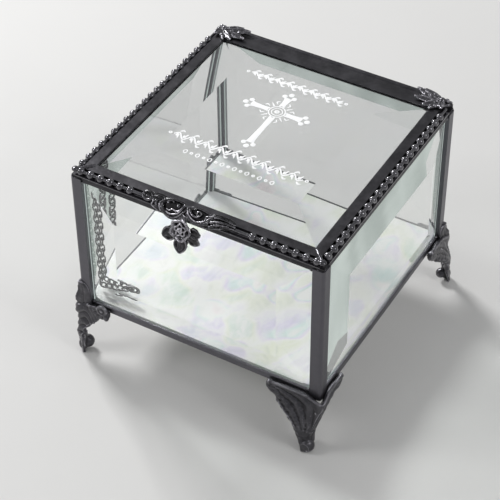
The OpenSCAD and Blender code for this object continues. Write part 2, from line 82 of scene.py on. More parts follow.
# The feet: the leg's half width in millimetres, how far the leaf is open from the rail at 0 to
# the table at 1, the steps along its rim, and the least height over the table in metres
LEG_HALF = 2.8
OPENING = (
    (0, 1.0), (0.12, 0.98), (0.18, 0.86), (0.24, 0.74), (0.3, 0.68), (0.36, 0.56), (0.42, 0.4),
    (0.5, 0.24), (0.58, 0.14), (0.66, 0.07), (0.74, 0.03), (0.85, 0.0), (1.0, 0.0),
)
RIM_STEPS = [k / 8 for k in range(-8, 9)]
TABLE_GAP = 0.00002

# Places of the lift and the rose, in millimetres, how far each leans back, and the height in
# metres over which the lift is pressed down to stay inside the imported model's box
LIFT_SPOT = Vector((-3.2, -54.18, 94.27))
LIFT_TILT = math.radians(47)
LIFT_PRESS_START = 0.096
ROSE_SPOT = Vector((-3.6, -56.6, 89.5))
ROSE_TILT = math.radians(74)

# Colours of the glass, of the painted glow on its ground edges and where it catches light inside, and of the
# chain
BEVEL_TINT = (0.86, 0.94, 0.91)
PAINTED_EDGE_GLOW = (0.34, 0.375, 0.36)
PAINTED_CAUGHT_LIGHT = ((0.36, 0.41, 0.385), (0.54, 0.60, 0.57))
PEARL_STOPS = [
    (0.0, (0.56, 0.74, 0.65)),
    (0.2, (0.82, 0.86, 0.66)),
    (0.4, (0.94, 0.92, 0.90)),
    (0.55, (0.78, 0.68, 0.92)),
    (0.72, (0.64, 0.84, 0.83)),
    (0.86, (0.95, 0.94, 0.93)),
    (1.0, (0.96, 0.74, 0.80)),
]
CHAIN_COLOURS = ((0.11, 0.11, 0.115), (0.3, 0.3, 0.31))

# The camera, fitted to the photograph's view: degrees, metres and a lens in millimetres
CAMERA_TURN = math.radians(30.3)
CAMERA_RISE = math.radians(42.4)
CAMERA_ROLL = math.radians(0.44)
CAMERA_TARGET = Vector((-0.0078, 0.0, 0.0323))
CAMERA_DISTANCE = 0.709
CAMERA_LENS = 123.9
LAMP_TARGET = Vector((0, 0, 0.05))


# ---------- shader maths ----------


class Value:
    """A socket's value; arithmetic on it adds Math nodes."""

    def __init__(self, finish, socket):
        self.finish = finish
        self.socket = socket

    def maths(self, operation, *others):
        return self.finish.node("ShaderNodeMath", {"operation": operation}, [self, *others])

    def __add__(self, other):
        return self.maths("ADD", other)

    __radd__ = __add__

    def __sub__(self, other):
        return self.maths("SUBTRACT", other)

    def __rsub__(self, other):
        return self.finish.node("ShaderNodeMath", {"operation": "SUBTRACT"}, [other, self])

    def __mul__(self, other):
        return self.maths("MULTIPLY", other)

    __rmul__ = __mul__

    def __abs__(self):
        return self.maths("ABSOLUTE")

    def above(self, edge, soft):
        """1 where the value is over the edge, 0 under it, with a soft step between."""
        return self.finish.node(
            "ShaderNodeMapRange",
            {"interpolation_type": "SMOOTHSTEP"},
            [self, edge - soft, edge + soft, 0.0, 1.0],
        )

    def within(self, edge, soft):
        """1 where the value is under the edge."""
        return 1.0 - self.above(edge, soft)


class Finish:
    """A material whose nodes are added by short calls."""

    def __init__(self, name):
        self.material = bpy.data.materials.new(name)
        self.material.use_nodes = True
        self.tree = self.material.node_tree
        self.tree.nodes.clear()
        self.coords = self.node("ShaderNodeTexCoord", {}, [], "Object")

    def node(self, kind, settings, values, out=0):
        """Adds a node: its settings first, then its sockets' values or links."""
        made = self.tree.nodes.new(kind)
        for key, setting in settings.items():
            if key == "stops":
                ramp = made.color_ramp.elements
                while len(ramp) < len(setting):
                    ramp.new(0.5)
                for element, (place, colour) in zip(ramp, setting):
                    element.position = place
                    element.color = (*colour, 1.0)
            else:
                setattr(made, key, setting)
        pairs = values.items() if isinstance(values, dict) else enumerate(values)
        for key, value in pairs:
            if isinstance(value, Value):
                self.tree.links.new(value.socket, made.inputs[key])
            else:
                made.inputs[key].default_value = value
        return Value(self, made.outputs[out]) if made.outputs else made

    def noise(self, size, detail=2.0, rough=0.5, stretch=None, distortion=0.0):
        """Noise whose lumps are about this many millimetres across."""
        place = self.coords
        if stretch:
            place = self.node("ShaderNodeMapping", {}, {"Vector": place, "Scale": stretch})
        return self.node(
            "ShaderNodeTexNoise",
            {},
            {
                "Vector": place,
                "Scale": 1 / (size * MM),
                "Detail": detail,
                "Roughness": rough,
                "Distortion": distortion,
            },
            "Fac",
        )

    def place(self):
        """The X, Y and Z of the point, in millimetres."""
        split = self.node("ShaderNodeSeparateXYZ", {}, [self.coords])
        outs = split.socket.node.outputs
        return [Value(self, outs[i]) * MM_PER_M for i in range(3)]

    def colour(self, factor, first, second):
        """A colour between two colours."""
        ends = [c if isinstance(c, Value) else (*c, 1.0) for c in (first, second)]
        return self.node("ShaderNodeMix", {"data_type": "RGBA"}, {0: factor, 6: ends[0], 7: ends[1]}, 2)

    def bump(self, height, depth, under=None):
        """A normal from a height; depth is in millimetres."""
        values = {"Strength": 1.0, "Distance": depth * MM, "Height": height}
        if under is not None:
            values["Normal"] = under
        return self.node("ShaderNodeBump", {}, values)

    def surface(self, values):
        return self.node("ShaderNodeBsdfPrincipled", {}, values)

    def finish(self, shader):
        self.node("ShaderNodeOutputMaterial", {}, {"Surface": shader})
        return self.material


# ---------- finishes ----------


def shade(colour, factor):
    """A colour made lighter or darker by a factor."""
    return tuple(c * factor for c in colour)


def dark_metal(name, low, high, rough, shine, lumps=2.2, worn=0.0, edges=False, plane=None):
    """Soldered metal under a dark patina, with soft ripples and paler worn places and edges; with edges, its
    hollows also get painted shade.

    plane is the place, the tilt and a rise of a flat casting, whose high strands are rubbed bright
    and whose low ground is painted black, as painted shade for the openings between the strands.
    """
    f = Finish(name)
    cloud = f.noise(lumps * 3, 3.0, 0.6)
    grain = f.noise(0.6, 3.0, 0.6)
    ripple = f.noise(lumps, 1.5, 0.5)
    mask = (cloud * 0.75 + grain * 0.25).above(0.52, 0.16)
    base = f.colour(mask, low, tuple(0.3 * h + 0.7 * d for h, d in zip(high, low)))
    pale = tuple(min(1.0, c * 4.5) for c in high)
    if worn:
        rub = (f.noise(1.6, 3.0, 0.6) * 0.6 + ripple * 0.4).above(0.66 - 0.1 * worn, 0.06) * 0.45
        if edges:
            shape = f.node("ShaderNodeNewGeometry", {}, [], "Pointiness")
            rub = rub * 0.3 + shape.above(0.535, 0.022) * (0.4 + 0.6 * cloud.above(0.45, 0.15))
            # Painted shade: the hollows, where the surface is least pointy, are darkened towards black
            base = f.colour(shape.within(0.482, 0.018) * 0.8, base, shade(low, 0.22))
        if plane:
            spot, tilt, lift = plane
            xyz = f.place()
            height = (xyz[2] - spot.z) * math.cos(tilt) - (xyz[1] - spot.y) * math.sin(tilt) + lift
            # Painted shade: what lies low on the casting's plane is darkened towards black
            base = f.colour(height.within(0.95, 0.45) * 0.85, base, shade(low, 0.15))
            rub = rub * height.above(0.9, 0.5) + height.above(1.75, 0.3) * 0.5 * ripple.above(0.42, 0.1)
        base = f.colour(rub.maths("MINIMUM", 1.0) * worn, base, pale)
    return f.finish(
        f.surface(
            {
                "Base Color": base,
                "Metallic": 0.85,
                "Roughness": rough + (grain - 0.5) * 0.15 + (cloud - 0.5) * 0.2,
                "Coat Weight": shine,
                "Coat Roughness": 0.08,
                "Normal": f.bump(grain, 0.012, f.bump(ripple, 0.09)),
            }
        )
    )


def clear_glass(name, tint, edge_tint, spans):
    """Clear bevelled glass, greener at its bevels.

    Each span is an axis of the pane, its middle and its half length. The ground edges inside the
    frame, and the places where light is caught in the pane, get a painted glow: an emission that
    stands in for the room's light carried inside the glass.
    """
    f = Finish(name)
    xyz = f.place()
    rim = None
    ground = None
    for index, middle, half in spans:
        off = abs(xyz[index] - middle)
        near = off.above(half - 1.6, 1.4)
        last = off.above(half - 0.75, 0.25)
        rim = near if rim is None else rim + near - rim * near
        ground = last if ground is None else ground + last - ground * last
    # The emission on the ground edges is a painted glow, standing in for light carried inside the glass
    glass = f.surface(
        {
            "Base Color": f.colour(rim, tint, edge_tint),
            "Roughness": 0.0,
            "IOR": 1.5,
            "Transmission Weight": 1.0,
            "Emission Color": f.colour(ground, (0.0, 0.0, 0.0), PAINTED_EDGE_GLOW),
            "Emission Strength": 1.0,
        }
    )
    clear = f.node("ShaderNodeBsdfTransparent", {}, {"Color": (0.955, 0.965, 0.96, 1.0)})
    passing = [f.node("ShaderNodeLightPath", {}, [], ray) for ray in ("Is Shadow Ray", "Is Diffuse Ray")]
    # Painted glow with paler streaks, used in place of the glass after more than one glossy bounce
    streaks = f.noise(20.0, 1.0, 0.5, (1.0, 1.0, 0.3))
    glow = f.surface(
        {
            "Base Color": (0.0, 0.0, 0.0, 1.0),
            "Roughness": 1.0,
            "Emission Color": f.colour(streaks.above(0.5, 0.16), *PAINTED_CAUGHT_LIGHT),
            "Emission Strength": 1.0,
        }
    )
    caught = f.node("ShaderNodeLightPath", {}, [], "Glossy Depth").above(1.5, 0.1)
    body = f.node("ShaderNodeMixShader", {}, [caught, glass, glow])
    return f.finish(f.node("ShaderNodeMixShader", {}, [passing[0].maths("MAXIMUM", passing[1]), body, clear]))


def pearl_glass(name):
    """Milky iridescent sheet glass with rounded pastel patches."""
    f = Finish(name)
    warp = f.node(
        "ShaderNodeVectorMath",
        {"operation": "MULTIPLY_ADD"},
        [
            f.node("ShaderNodeTexNoise", {}, {"Vector": f.coords, "Scale": 90.0, "Detail": 1.0}, "Color"),
            (0.006, 0.006, 0.0),
            f.coords,
        ],
    )
    cells = f.node(
        "ShaderNodeTexVoronoi",
        {"feature": "SMOOTH_F1"},
        {"Vector": warp, "Scale": 105.0, "Smoothness": 0.6},
        "Color",
    )
    split = f.node("ShaderNodeSeparateColor", {}, [cells])
    pick = Value(f, split.socket.node.outputs[0])
    tone = Value(f, split.socket.node.outputs[1])
    hue = f.node("ShaderNodeValToRGB", {"stops": PEARL_STOPS}, [pick])
    rings = f.node("ShaderNodeTexVoronoi", {"feature": "F1"}, {"Vector": warp, "Scale": 105.0}, "Distance")
    cloud = f.noise(5.0, 4.0, 0.6, (1.0, 0.55, 1.0), 1.2)
    pale = rings.above(0.42, 0.25) * 0.3 + tone * 0.35 + f.noise(22.0, 2.0, 0.5).above(0.52, 0.12) * 0.3
    pale = pale + cloud.above(0.52, 0.1) * 0.35
    hue = f.colour(cloud.within(0.42, 0.08) * 0.35, hue, (0.62, 0.66, 0.62))
    base = f.colour(pale.maths("MINIMUM", 1.0), hue, (0.93, 0.93, 0.92))
    return f.finish(
        f.surface(
            {
                "Base Color": base,
                "Roughness": 0.22,
                "Coat Weight": 0.6,
                "Coat Roughness": 0.05,
                "IOR": 1.5,
                "Normal": f.bump(f.noise(5.0, 2.0, 0.5), 0.15),
            }
        )
    )


def engraved_white(name):
    """The matt white of lines cut into glass."""
    f = Finish(name)
    grain = f.noise(0.25, 3.0, 0.6)
    return f.finish(
        f.surface(
            {
                "Base Color": f.colour(grain, (0.86, 0.87, 0.88), (0.97, 0.97, 0.97)),
                "Roughness": 0.85,
                "Normal": f.bump(grain, 0.02),
            }
        )
    )


# ---------- modelling helpers, in millimetres ----------


def deselect():
    bpy.ops.object.select_all(action="DESELECT")


def give(obj, material):
    """Makes a material the object's only one."""
    obj.data.materials.clear()
    obj.data.materials.append(material)


def lump(spot, size):
    """A rounded lump of metal with half sizes along its three axes."""
    deselect()
    bpy.ops.mesh.primitive_uv_sphere_add(segments=20, ring_count=12, radius=MM, location=Vector(spot) * MM)
    ball = bpy.context.object
    ball.scale = size
    bpy.ops.object.transform_apply(location=True, rotation=True, scale=True)
    return ball


def strand(points, radii, flat=1.0):
    """A strand of metal along a smooth path; its radii are spread evenly along it."""
    deselect()
    bpy.ops.curve.primitive_nurbs_path_add()
    wire = bpy.context.object
    path = wire.data.splines[0]
    points = [Vector(p) for p in points]
    while len(points) < 5:
        points = [p for q, r in zip(points, points[1:]) for p in (q, (q + r) / 2)] + points[-1:]
    path.points.add(len(points) - len(path.points))
    path.order_u = 3
    path.use_endpoint_u = True
    path.resolution_u = 4
    last = len(points) - 1
    for i, p in enumerate(points):
        along = i / last * (len(radii) - 1)
        low = min(int(along), len(radii) - 2)
        path.points[i].co = (*p * MM, 1.0)
        path.points[i].radius = radii[low] + (radii[low + 1] - radii[low]) * (along - low)
    wire.data.bevel_depth = MM
    wire.data.bevel_resolution = 2
    wire.data.use_fill_caps = True
    bpy.ops.object.convert(target="MESH")
    wire.data.transform(Matrix.Diagonal((1.0, 1.0, flat, 1.0)))
    return wire


def sheet(rows, columns, form, thick):
    """A sheet of metal whose points follow form(u, v), with u and v from 0 to 1."""
    deselect()
    bpy.ops.mesh.primitive_grid_add(x_subdivisions=columns, y_subdivisions=rows, size=1.0)
    plate = bpy.context.object
    for v in plate.data.vertices:
        v.co = Vector(form(v.co.x + 0.5, v.co.y + 0.5)) * MM
    plate.data.update()
    solid = plate.modifiers.new("thickness", "SOLIDIFY")
    solid.thickness = thick * MM
    solid.offset = 0.0
    bpy.ops.object.modifier_apply(modifier=solid.name)
    return plate


def leaf(base, tip, width, curl, thick):
    """A lobed leaf from its base to its tip, with a ridge along it and curled up at the tip."""
    base = Vector(base)
    along = Vector(tip) - base
    side = Vector((0, 0, 1)).cross(along).normalized()
    up = along.cross(side).normalized()

    def form(u, v):
        s = 2 * u - 1
        swell = math.sin(math.pi * min(0.97, 0.06 + 0.94 * v) ** 0.75) ** 0.8
        edge = 1 + 0.16 * abs(math.sin(math.pi * 2.5 * v))
        half = width / 2 * swell * edge
        ridge = 0.35 * (1 - abs(s)) - 0.12 * math.cos(3 * math.pi * s) + curl * v * v
        return base + along * v + side * half * s + up * ridge

    return sheet(18, 10, form, thick)


def join(name, parts):
    """Joins parts into one object without melting them."""
    deselect()
    for part in parts:
        part.select_set(True)
    whole = parts[0]
    bpy.context.view_layer.objects.active = whole
    bpy.ops.object.join()
    whole.name = name
    whole.data.name = name
    bpy.ops.object.shade_smooth()
    return whole


def fuse(name, parts, cell, soft, grain):
    """Melts parts into one casting: joined, remeshed, softened and given a fine grain."""
    casting = join(name, parts)
    melt = casting.modifiers.new("melt", "REMESH")
    melt.mode = "VOXEL"
    melt.voxel_size = cell * MM
    smooth = casting.modifiers.new("soften", "SMOOTH")
    smooth.iterations = soft
    cloud = bpy.data.textures.new(name + "_grain", "CLOUDS")
    cloud.noise_scale = 1.1 * MM
    rough = casting.modifiers.new("grain", "DISPLACE")
    rough.texture = cloud
    rough.texture_coords = "LOCAL"
    rough.strength = grain * MM
    for modifier in (melt, smooth, rough):
        bpy.ops.object.modifier_apply(modifier=modifier.name)
    bpy.ops.object.shade_smooth()
    return casting


def move(obj, matrix):
    """Moves a mesh's points, and leaves the object at the origin."""
    obj.data.transform(matrix)
    obj.data.update()
    return obj


def press(obj, start, top):
    """Flattens what rises above a height, so that it ends at the top, both in metres."""
    peak = max(v.co.z for v in obj.data.vertices)
    if peak > top:
        for v in obj.data.vertices:
            if v.co.z > start:
                v.co.z = start + (v.co.z - start) * (top - start) / (peak - start)


def hand_in(piece, material, body, slot, *nodes):
    """Gives a piece its finish and its body, and hides the nodes it stands for; slot is not used."""
    give(piece, material)
    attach(piece, body)
    if nodes:
        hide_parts(*nodes)


# ---------- solder and engraving ----------


def case_solder():
    """Small fillets of solder where the posts meet the rails."""
    parts = []
    for sx in (-1, 1):
        for sy in (-1, 1):
            for z, drop in ((RAIL_UNDERSIDE + 3.0, 0.5), (POST_TOP - 1.4, -0.4)):
                steps = [(49.4 - 0.8 * k, z - 0.1 * k * drop) for k in range(3)]
                parts.append(strand([(sx * along, sy * 53.6, up) for along, up in steps], (0.9, 0.35)))
                parts.append(strand([(sx * 53.6, sy * along, up) for along, up in steps], (0.9, 0.35)))
            parts.append(lump((sx * 52.2, sy * 52.2, POST_TOP - 0.1), (2.3, 2.3, 0.45)))
            parts.append(lump((sx * 52.2, sy * 52.2, RAIL_UNDERSIDE + 0.2), (2.3, 2.3, 0.5)))
    return fuse("corner_solder", parts, 0.3, 2, 0.08)


def lid_solder():
    """Ridges of solder over the lid's mitres."""
    top = LID_FRAME_TOP
    parts = []
    for sx in (-1, 1):
        for sy in (-1, 1):
            ridge = [
                (
                    sx * (47.4 + 1.9 * k),
                    sy * (47.4 + 1.9 * k - (sy > 0) * 0.1 * k),
                    top - 0.25 + 0.12 * (k % 2),
                )
                for k in range(4)
            ]
            parts.append(strand(ridge, (0.7, 0.95, 0.8)))
            if sy < 0:
                parts.append(lump((sx * 52.9, -52.9, top + 0.1), (1.5, 1.5, 0.9)))
    return fuse("mitre_solder", parts, 0.25, 2, 0.1)


def cut(points, *widths):
    """A line cut into the lid's glass, of the widths along it."""
    line = strand([(x, y, 0.0) for x, y in points], [w / 2 for w in widths], 0.1)
    return move(line, Matrix.Translation((0.0, 0.0, LID_GLASS_TOP + CUT_LIFT)))


def cut_ring(x, y, radius, width):
    """A ring cut into the lid's glass, or a dot where its width fills it."""
    turns = [2 * math.pi * k / RING_STEPS for k in range(RING_STEPS + 1)]
    return cut([(x + radius * math.cos(t), y + radius * math.sin(t)) for t in turns], width, width)


def vine(y, left, right, rise, step):
    """A running vine with two leaves in each bend and a dot at each end."""
    bends = 2 * round((right - left) / step)
    stem = [
        (left + (right - left) * k / (2 * bends), y + rise * math.sin(math.pi * k / 2))
        for k in range(2 * bends + 1)
    ]
    parts = [cut(stem, 0.7, 0.85, 0.7)]
    for k in range(bends):
        x = left + (right - left) * (k + 0.5) / bends
        up = rise if k % 2 == 0 else -rise
        inner = [(x - 0.5, y - 0.35 * up), (x, y + 0.2 * up), (x + 0.9, y - 0.9 * up)]
        outer = [(x - 0.2, y + 1.0 * up), (x + 1.1, y + 1.5 * up), (x + 2.0, y + 1.25 * up)]
        parts.append(cut(inner, 0.4, 1.5, 0.3))
        parts.append(cut(outer, 0.4, 1.25, 0.25))
    for x in (left - 1.6, right + 1.6):
        parts.append(cut_ring(x, y, 0.55, 0.6))
    return parts


def cross_arm(middle, turn, length):
    """One budded arm of the cross, and the ray after it."""
    parts = []
    along = Vector((math.cos(turn), math.sin(turn)))
    side = Vector((-math.sin(turn), math.cos(turn)))

    def spot(u, v):
        return tuple(middle + along * u + side * v)

    for half in (-1, 1):
        flank = [
            spot(3.6, 0.9 * half),
            spot(0.5 * length, 0.7 * half),
            spot(length - 2.2, 1.0 * half),
            spot(length - 0.6, 1.8 * half),
        ]
        parts.append(cut(flank, 0.8, 0.9, 0.8))
        parts.append(cut_ring(*spot(length - 0.3, 2.1 * half), 0.55, 1.2))
        sprig = [spot(4.4, 2.2 * half), spot(5.6, 3.0 * half), spot(6.6, 2.0 * half)]
        parts.append(cut(sprig, 0.3, 0.8, 0.3))
    parts.append(cut_ring(*spot(length + 1.4, 0.0), 0.6, 1.3))
    parts.append(cut([spot(4.0, 0.0), spot(length * 0.6, 0.0), spot(length - 1.0, 0.0)], 1.5, 0.9, 2.2))
    slant = turn + math.radians(45)
    ray = Vector((math.cos(slant), math.sin(slant)))
    parts.append(cut([tuple(middle + ray * r) for r in (3.9, 5.2, 6.6)], 0.8, 0.6, 0.2))
    return parts


def engraving():
    """The lid's engraving: a ringed cross with budded arms between three bands of ornament."""
    parts = vine(30.5, -24.0, 17.0, 1.5, 5.1) + vine(-18.3, -30.5, 26.0, 2.1, 6.3)
    y = -25.5
    for k in range(15):
        x = -21.0 + 2.7 * k
        if k % 2 == 0:
            diamond = [(x - 0.9, y), (x, y + 1.5), (x + 0.9, y), (x, y - 1.5), (x - 0.9, y)]
            parts.append(cut(diamond, 0.5, 0.5))
        else:
            parts.append(cut_ring(x, y, 0.5, 0.6))
    middle = Vector((-2.6, 12.8))
    for turn, length in ((0, 12.0), (90, 10.6), (180, 12.6), (270, 22.6)):
        parts += cross_arm(middle, math.radians(turn), length)
    for radius, width in ((3.5, 0.55), (2.3, 0.4), (0.7, 0.9)):
        parts.append(cut_ring(*middle, radius, width))
    return join("lid_engraving", parts)


# ---------- castings ----------


def spread(t):
    """How far the leaf is open at a height, from 1 at the rail to 0 at the leg."""
    for (start, first), (end, second) in zip(OPENING, OPENING[1:]):
        if t <= end:
            return first + (second - first) * (max(t, start) - start) / (end - start)
    return 0.0


def ease(t):
    """A soft step from 0 to 1."""
    t = min(1.0, max(0.0, t))
    return t * t * (3 - 2 * t)


class Foot:
    """The leaf foot at one corner: wings folded round the corner that close to a leg and a toe.

    reach is how far each wing goes from the corner, and slim how fast it narrows. lean is how
    far the leg stands to one side, and flare how far it stands out. tip is the height of the
    leaf's tip over the rail's underside. folds gives it stacked folds and a rosette. toe holds
    the radius of the ball, the radius of the heel, how far back the heel lies and the radius of
    the shin.
    """

    def __init__(self, name, reach, slim, lean, flare, tip, folds, toe):
        self.name = name
        self.reach = reach
        self.slim = slim
        self.lean = lean
        self.flare = flare
        self.tip = tip
        self.folds = folds
        self.toe = toe
        low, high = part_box(name)
        sx = 1 if low.x + high.x > 0 else -1
        sy = 1 if low.y + high.y > 0 else -1
        self.outward = Vector((sx, sy, 0)) / math.sqrt(2)
        self.sideways = Vector((-sy, sx, 0)) / math.sqrt(2)

    def at(self, r, s, z):
        return self.outward * r + self.sideways * s + Vector((0, 0, z))

    def half(self, t, s):
        """Half the leaf's width at a height, on the side of s."""
        side = s > 0
        return LEG_HALF + (self.reach[side] - LEG_HALF) * spread(t) ** self.slim[side]

    def relief(self, t, s, half):
        """Flutes that follow the leaf's outline, or stacked folds, as heights over the leaf."""
        x = abs(s) * half
        level = 1.0
        for k in range(1, 21):
            if LEG_HALF < x and self.half(k / 20, s) < x:
                level = (k - 0.5) / 20
                break
        deep = 1 - ease((t - 0.6) / 0.35)
        flute = math.cos(2 * math.pi * 4.0 * math.sqrt(abs(s) * min(1.0, t / level)))
        height = (0.4 if self.folds else 0.75) * deep * flute
        if self.folds:
            across = half * s - 2.4
            phase = 7.0 * (t + 0.02 - 0.011 * across * across)
            mask = ease((t + 0.05) / 0.1) * (1 - ease((t - 0.58) / 0.1))
            mask *= 1 - ease((abs(across) - 5.5) / 1.5)
            height = height * (1 - mask) + mask * (1.5 * abs(math.sin(math.pi * phase)) - 0.5)
        return height

    def point(self, t, s, out=0.0):
        """A point of the leaf: t from the rail to the table, s from wing to wing."""
        fold = math.radians(45) * (1 - ease((t - 0.25) / 0.65))
        half = self.half(t, s)
        edge = half + (
            0.8 * spread(t) * abs(math.sin(math.pi * 8.0 * t)) * ease(abs(s) * 1.4 - 0.3) * (t > 0.12)
        )
        spine = POST_FACE + 0.3 + self.flare * ease(t / 0.65)
        spine += 1.1 * math.exp(-(((t - 0.05) / 0.14) ** 2) - (s / 0.22) ** 2)
        spine -= (0.0 if self.folds else 0.9) * math.exp(-(((t - 0.72) / 0.16) ** 2))
        bend = math.sqrt(s * s + 0.006) - math.sqrt(0.006)
        r = spine * math.sqrt(2) - edge * math.sin(fold) * bend + self.relief(t, s, half) + out - 0.4
        top = RAIL_UNDERSIDE + 2.0 - 2.2 * math.exp(-((s * half / 3.5) ** 2))
        shift = self.lean * ease(t / 0.75)
        return self.at(r, edge * math.cos(fold) * s + shift, top * (1 - t))

    def tip_point(self, u, v):
        """The leaf's tip, a plate folded round the post's corner with a knee that sticks out."""
        s = 2 * u - 1
        half = 4.7 * (1 - v**7) ** 0.5 + 0.1
        r = (POST_FACE + 0.35) * math.sqrt(2) + 1.5 * math.exp(-(((v - 0.42) / 0.2) ** 2) - (s / 0.5) ** 2)
        r += 0.45 * math.cos(6 * math.pi * s) * (1 - 0.6 * v) - half * math.sin(math.radians(45)) * abs(s)
        return self.at(r, half * math.cos(math.radians(45)) * s, RAIL_UNDERSIDE - 2.5 + (self.tip + 2.5) * v)

    def rosette(self):
        """A ring with a bead in it and a drop under it, on the end of one wing."""
        eye = self.point(0.0, 0.86, 1.0)
        along = (self.sideways - self.outward).normalized()
        ring = [
            eye + along * 2.2 * math.cos(k * 0.8) + Vector((0, 0, 2.2 * math.sin(k * 0.8)))
            for k in range(9)
        ]
        return [
            strand(ring, (0.75, 0.75)),
            lump(eye, (1.1, 1.1, 1.1)),
            lump(eye + along * 1.8 + Vector((0, 0, -3.2)), (1.2, 1.2, 1.7)),
        ]

    def build(self, wall):
        """The whole casting, its leaf of this thickness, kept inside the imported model's box."""
        parts = [sheet(72, 72, lambda u, v: self.point(1 - v, 2 * u - 1), wall)]
        if self.tip > 2:
            parts.append(sheet(24, 16, self.tip_point, 1.1))
        rim = [self.point(0.0, s, 0.35) for s in RIM_STEPS]
        parts.append(strand(rim, (0.8, 0.6, 0.75, 0.6, 0.8)))
        curl = ((0.0, 0.97), (0.05, 1.0), (0.11, 1.0), (0.17, 0.95), (0.17, 0.86), (0.11, 0.83), (0.08, 0.88))
        for end in (-1, 1):
            parts.append(strand([self.point(t, end * s, 0.4) for t, s in curl], (1.0, 0.9, 0.5)))
        if self.folds:
            parts += self.rosette()
        ball_r, heel_r, heel_back, shin_r = self.toe
        shin = [self.point(t, 0.0, -0.9) for t in (0.55, 0.7, 0.85, 0.97)]
        parts.append(strand(shin, (shin_r, shin_r, ball_r * 0.75)))
        for back, r, z in ((0.2, ball_r, 2.9), (heel_back, heel_r, 3.8)):
            spot = self.point(1.0, 0.0) - self.outward * back
            parts.append(lump((spot.x, spot.y, z), (r, r, max(r, 2.9) if back < 1 else r)))
        casting = fuse(self.name + "_casting", parts, 0.3, 3, 0.06)
        for v in casting.data.vertices:
            v.co.x = min(max(v.co.x, CAD_BOX[0][0]), CAD_BOX[1][0])
            v.co.y = min(max(v.co.y, CAD_BOX[0][1]), CAD_BOX[1][1])
            v.co.z = min(max(v.co.z, TABLE_GAP), (RAIL_UNDERSIDE + max(self.tip, 4.0)) * MM)
        return casting


